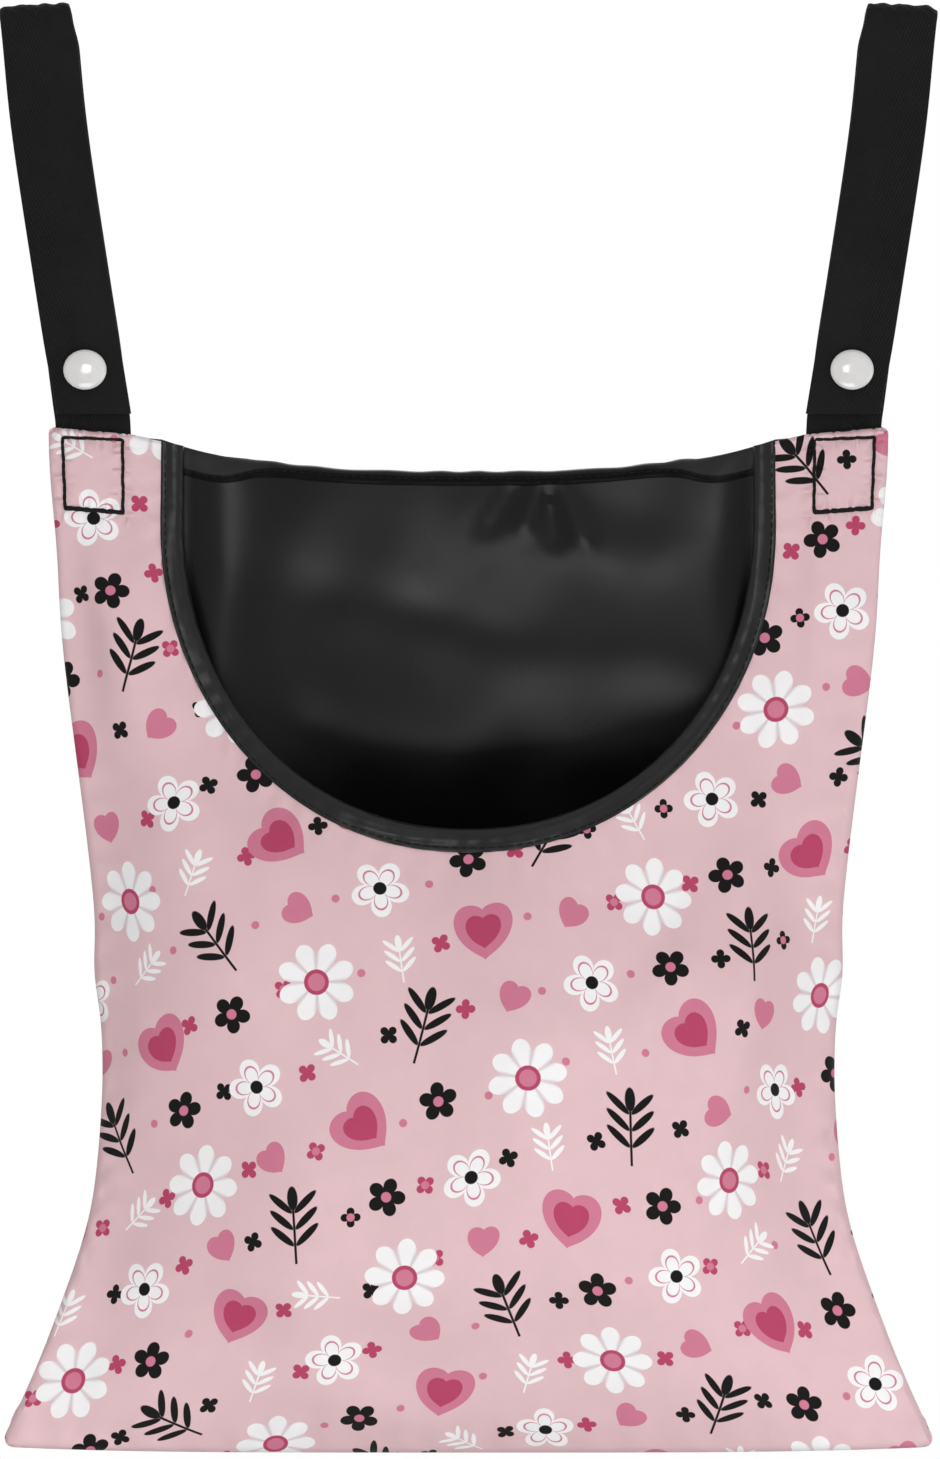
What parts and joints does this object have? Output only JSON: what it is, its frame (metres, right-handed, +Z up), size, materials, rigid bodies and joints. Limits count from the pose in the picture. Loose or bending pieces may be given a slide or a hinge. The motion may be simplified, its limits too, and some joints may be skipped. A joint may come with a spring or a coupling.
{
  "type": "peg bag",
  "caption": "Hanging lined cloth bag for clothes pegs, with a deep bound U mouth, on webbing straps that fold over a clothes line and close on themselves with press studs.",
  "frame": {"origin": "the clothes line that the strap loops hang on, midway between the loops", "axes": "+X to the right along the line, +Y from the mouth to the back, +Z up"},
  "size_m": [0.3128, 0.0872, 0.4844],
  "materials": {
    "printed_cloth": "matt printed polyester",
    "lining_cloth": "slightly shiny black polyester",
    "binding_tape": "black bias tape",
    "strap_webbing": "black twill webbing",
    "black_thread": "black sewing thread",
    "stud_plastic": "white, glossy"
  },
  "bodies": {
    "left_strap": {"left_strap_leg": "strap_webbing", "left_strap_fold": "strap_webbing", "left_snap_stud": "stud_plastic", "left_snap_rivet": "stud_plastic"},
    "left_tail": {"left_strap_tail": "strap_webbing", "left_snap_cap": "stud_plastic", "left_snap_socket": "stud_plastic"},
    "bag": {"front_panel": "printed_cloth", "back_panel": "printed_cloth", "front_lining": "lining_cloth", "back_lining": "lining_cloth", "mouth_binding": "binding_tape", "back_edge_band": "binding_tape", "bottom_seam": "lining_cloth", "left_side_seam": "lining_cloth", "right_side_seam": "lining_cloth", "left_strap_end": "strap_webbing", "right_strap_end": "strap_webbing", "left_box_stitch": "black_thread", "right_box_stitch": "black_thread"},
    "right_strap": {"right_strap_leg": "strap_webbing", "right_strap_fold": "strap_webbing", "right_snap_stud": "stud_plastic", "right_snap_rivet": "stud_plastic"},
    "right_tail": {"right_strap_tail": "strap_webbing", "right_snap_cap": "stud_plastic", "right_snap_socket": "stud_plastic"}
  },
  "joints": [
    {"name": "bag_swing", "type": "hinge", "parent": "left_strap", "child": "bag", "pos_m": [-0.1253, 0, -0.1333], "axis": [1, 0, 0], "range_deg": [-65, 115]},
    {"name": "left_tail_open", "type": "hinge", "parent": "left_strap", "child": "left_tail", "pos_m": [-0.1432, 0, 0], "axis": [-0.9911, 0, -0.1331], "range_deg": [0, 180], "deforming": ["left_strap_fold"]},
    {"name": "right_strap_swing", "type": "hinge", "parent": "bag", "child": "right_strap", "pos_m": [0.1253, 0, -0.1333], "axis": [1, 0, 0], "range_deg": [-115, 65]},
    {"name": "right_tail_open", "type": "hinge", "parent": "right_strap", "child": "right_tail", "pos_m": [0.1432, 0, 0], "axis": [-0.9911, 0, 0.1331], "range_deg": [0, 180], "deforming": ["right_strap_fold"]}
  ],
  "couplings": [
    {"joint": "right_strap_swing", "follows": "bag_swing", "ratio": -1}
  ]
}
